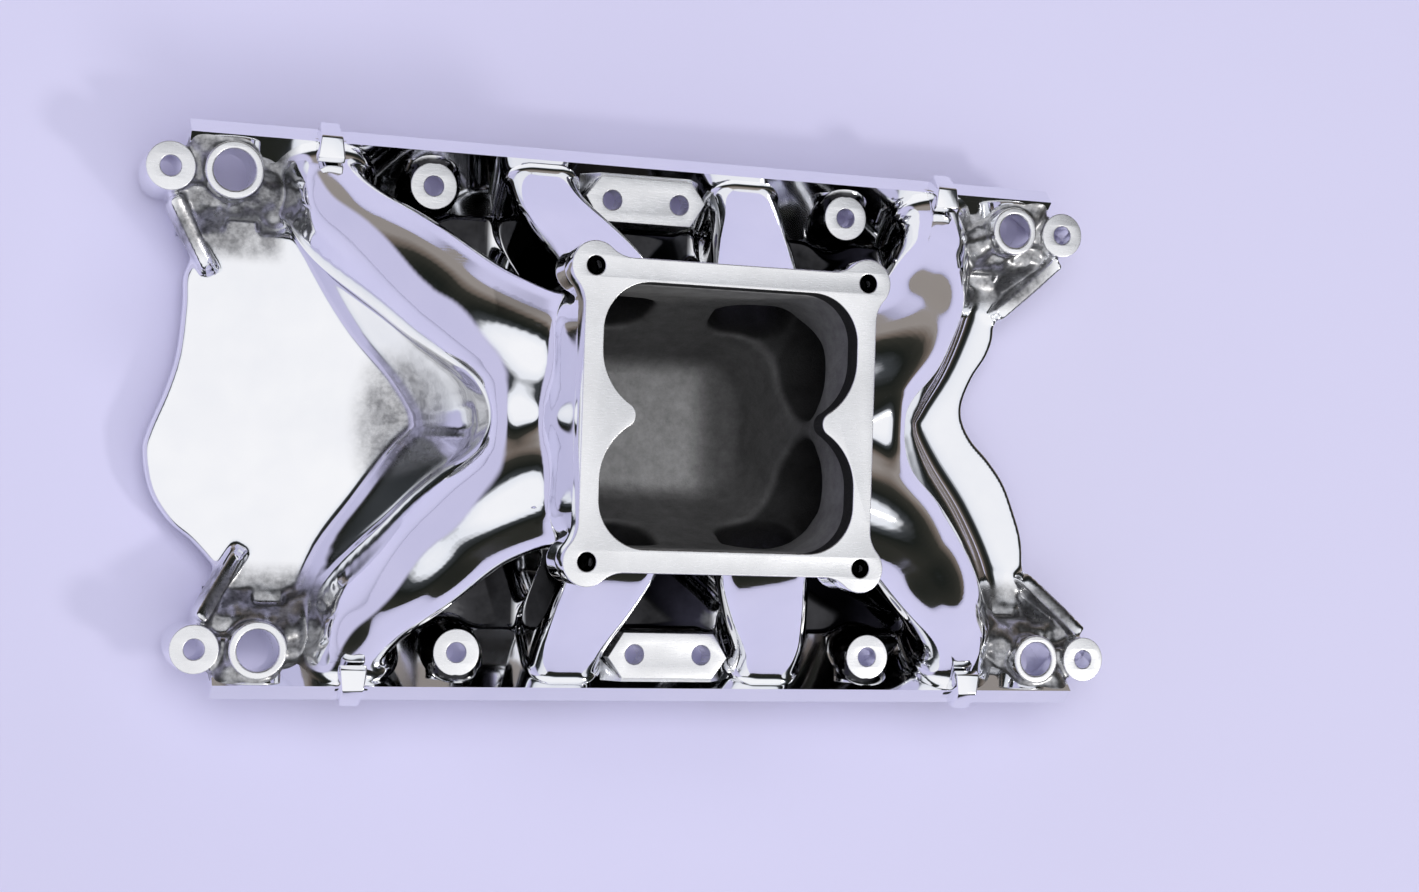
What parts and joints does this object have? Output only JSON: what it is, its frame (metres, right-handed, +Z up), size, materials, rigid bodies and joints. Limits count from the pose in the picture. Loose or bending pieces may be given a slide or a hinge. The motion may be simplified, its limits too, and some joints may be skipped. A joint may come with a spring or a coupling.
{
  "type": "intake manifold",
  "caption": "Single-plane intake manifold: a square carburettor flange on an open plenum, curved runners to two sloped port flanges, and a valley plate that closes the engine valley",
  "frame": {"origin": "middle of the bounding box in X and Y, midway between the two bolt rows, on the plane that the lower edges of both port flanges touch", "axes": "X along the engine, with +X away from the carburettor's offset, Y across the banks with +Y the left bank, +Z up towards the carburettor face, carburettor studs along Z"},
  "size_m": [0.5364, 0.292, 0.184],
  "materials": {
    "polished_aluminium": "polished",
    "machined_aluminium": "satin",
    "cast_aluminium": "rough cast"
  },
  "bodies": {
    "root": {"carb_flange": "machined_aluminium", "stud_post_1": "polished_aluminium", "stud_post_2": "polished_aluminium", "stud_post_3": "polished_aluminium", "stud_post_4": "polished_aluminium", "plenum_wall": "polished_aluminium", "plenum_floor": "cast_aluminium", "runner_1": "polished_aluminium", "runner_2": "polished_aluminium", "runner_3": "polished_aluminium", "runner_4": "polished_aluminium", "runner_5": "polished_aluminium", "runner_6": "polished_aluminium", "runner_7": "polished_aluminium", "runner_8": "polished_aluminium", "port_flange_left": "polished_aluminium", "port_flange_right": "polished_aluminium", "valley_plate": "polished_aluminium", "skirt_1": "polished_aluminium", "skirt_2": "polished_aluminium", "skirt_3": "polished_aluminium", "skirt_4": "polished_aluminium", "front_saddle": "polished_aluminium", "rear_saddle": "polished_aluminium", "end_boss_1": "machined_aluminium", "end_boss_2": "machined_aluminium", "end_boss_3": "machined_aluminium", "end_boss_4": "machined_aluminium", "coolant_boss_1": "machined_aluminium", "coolant_boss_2": "machined_aluminium", "coolant_boss_3": "machined_aluminium", "coolant_boss_4": "machined_aluminium", "mid_boss_1": "machined_aluminium", "mid_boss_2": "machined_aluminium", "mid_boss_3": "machined_aluminium", "mid_boss_4": "machined_aluminium", "centre_pad_left": "machined_aluminium", "centre_pad_right": "machined_aluminium", "flange_lug_1": "polished_aluminium", "flange_lug_2": "polished_aluminium", "flange_lug_3": "polished_aluminium", "flange_lug_4": "polished_aluminium", "corner_strut_1": "polished_aluminium", "corner_strut_2": "polished_aluminium", "corner_strut_3": "polished_aluminium", "corner_strut_4": "polished_aluminium", "corner_gusset_1": "polished_aluminium", "corner_gusset_2": "polished_aluminium", "corner_gusset_3": "polished_aluminium", "corner_gusset_4": "polished_aluminium", "boss_web_1": "polished_aluminium", "boss_web_2": "polished_aluminium", "boss_web_3": "polished_aluminium", "boss_web_4": "polished_aluminium"}
  },
  "joints": []
}
